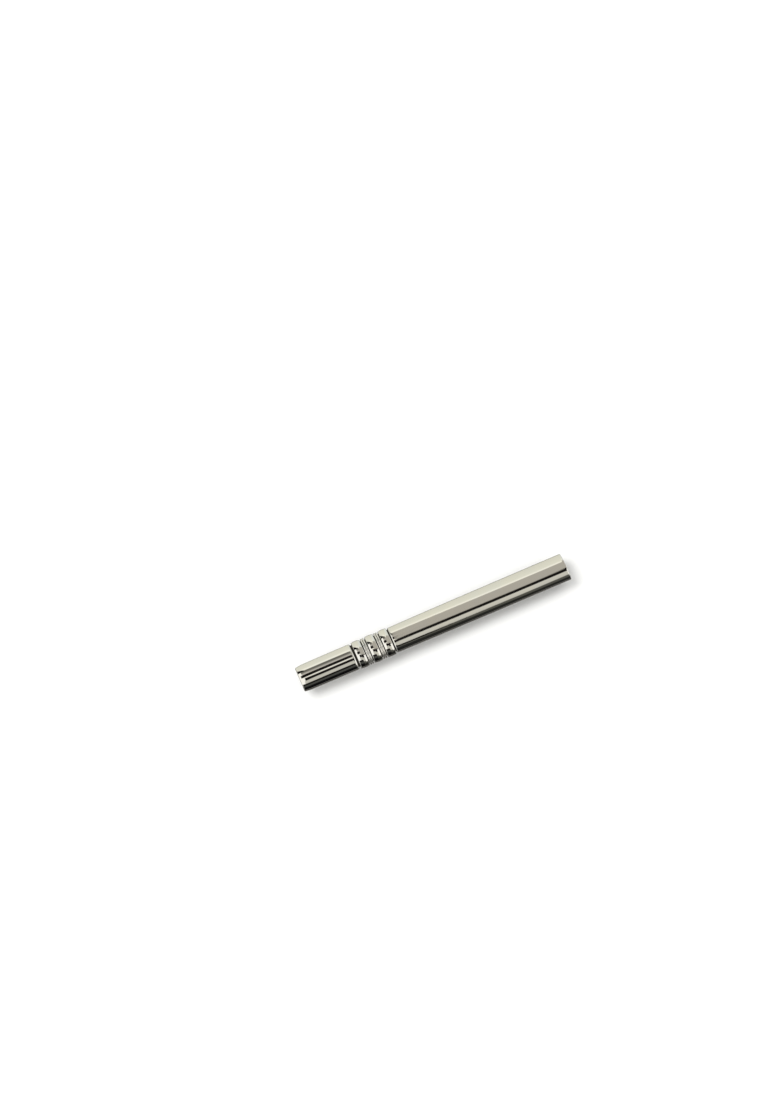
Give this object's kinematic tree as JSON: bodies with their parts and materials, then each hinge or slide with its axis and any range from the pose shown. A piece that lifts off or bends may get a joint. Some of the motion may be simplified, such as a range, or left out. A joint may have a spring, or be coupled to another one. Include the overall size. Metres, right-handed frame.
{
  "type": "tie bar",
  "caption": "Polished D-section tie bar with a beaded and ringed collar between its barrels, and a spring-hinged sheet clasp along its back.",
  "frame": {"origin": "on the flat underside of the closed clasp arm, midway along the bar and across it", "axes": "+X along the bar from the mouth of the clasp to its hinge, +Y across the bar, +Z out of the polished front"},
  "size_m": [0.058, 0.0058, 0.0044],
  "materials": {
    "gunmetal_plate": "mirror-polished gunmetal (black nickel) plate, slightly warm",
    "plated_steel": "tumbled steel sheet and wire with a thin dark nickel plate",
    "spring_steel": "fine-ground tempered spring strip",
    "black_plated_brass": "drawn and blackened, seen only at the bottom of the grooves"
  },
  "bodies": {
    "bar": {"core_rail": "black_plated_brass", "short_barrel": "gunmetal_plate", "long_barrel": "gunmetal_plate", "bead_1": "gunmetal_plate", "bead_2": "gunmetal_plate", "bead_3": "gunmetal_plate", "trim_ring_1": "gunmetal_plate", "trim_ring_2": "gunmetal_plate", "trim_ring_3": "gunmetal_plate", "trim_ring_4": "gunmetal_plate", "end_plug_mouth": "gunmetal_plate", "end_plug_hinge": "gunmetal_plate", "hinge_bracket": "plated_steel", "leaf_spring": "spring_steel", "bracket_rivet_1": "plated_steel", "bracket_rivet_2": "plated_steel", "hinge_pin": "plated_steel"},
    "arm": {"clasp_arm": "plated_steel"}
  },
  "joints": [
    {"name": "clasp_hinge", "type": "hinge", "parent": "bar", "child": "arm", "pos_m": [0.0275, 0, 0.00115], "axis": [0, -1, 0], "range_deg": [0, 35], "stiffness_Nm_per_rad": 0.04, "springref_deg": -85.94}
  ]
}
